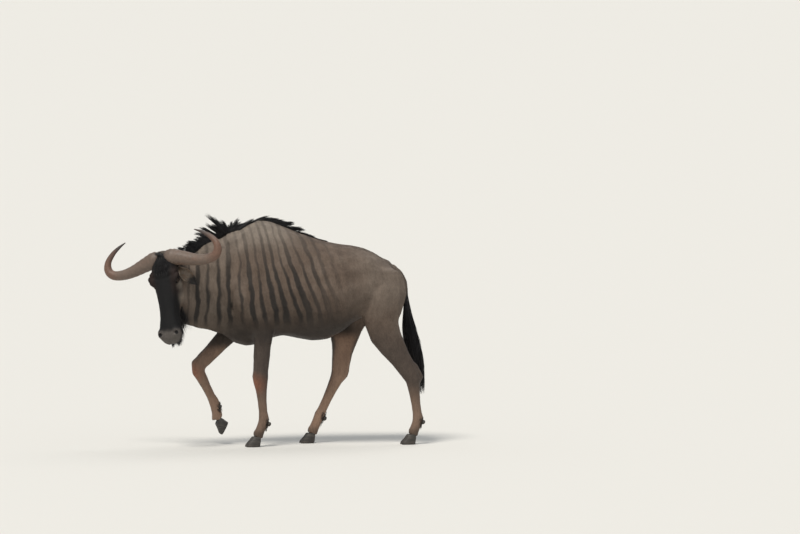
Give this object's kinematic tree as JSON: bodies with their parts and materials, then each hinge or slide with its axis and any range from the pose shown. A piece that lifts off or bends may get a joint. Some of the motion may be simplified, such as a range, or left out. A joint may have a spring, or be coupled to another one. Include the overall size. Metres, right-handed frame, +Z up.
{
  "type": "wildebeest figure",
  "caption": "Life-size blue wildebeest bull, walking with its head lowered and turned to its left and the right forefoot lifted.",
  "frame": {"origin": "on the floor, under the middle of the whole animal", "axes": "the animal walks towards -X, its left side faces -Y, +Z is up"},
  "size_m": [1.9894, 0.6628, 1.413],
  "materials": {
    "hide": "short grey-brown coat with darker upright stripes",
    "legs": "short brown coat",
    "face": "short black coat",
    "ear": "short tan coat",
    "hair": "long black hair",
    "horn": "satin horn, dark at the tips",
    "hoof": "dull dark horn",
    "eye": "wet and dark"
  },
  "bodies": {
    "root": {"beard": "hair", "dewclaw_fore_left_far": "hoof", "dewclaw_fore_left_near": "hoof", "dewclaw_fore_right_far": "hoof", "dewclaw_fore_right_near": "hoof", "dewclaw_hind_left_far": "hoof", "dewclaw_hind_left_near": "hoof", "dewclaw_hind_right_far": "hoof", "dewclaw_hind_right_near": "hoof", "ear_left": "ear", "ear_right": "ear", "eye_left": "eye", "eye_right": "eye", "head": "face", "hoof_fore_left_far": "hoof", "hoof_fore_left_near": "hoof", "hoof_fore_right_far": "hoof", "hoof_fore_right_near": "hoof", "hoof_hind_left_far": "hoof", "hoof_hind_left_near": "hoof", "hoof_hind_right_far": "hoof", "hoof_hind_right_near": "hoof", "horn_left": "horn", "horn_right": "horn", "leg_fore_left_lower": "legs", "leg_fore_left_upper": "legs", "leg_fore_right_lower": "legs", "leg_fore_right_upper": "legs", "leg_hind_left_lower": "legs", "leg_hind_left_upper": "legs", "leg_hind_right_lower": "legs", "leg_hind_right_upper": "legs", "mane_neck": "hair", "mane_withers": "hair", "neck": "hide", "tail_dock": "hide", "tail_hair": "hair", "trunk": "hide"}
  },
  "joints": []
}
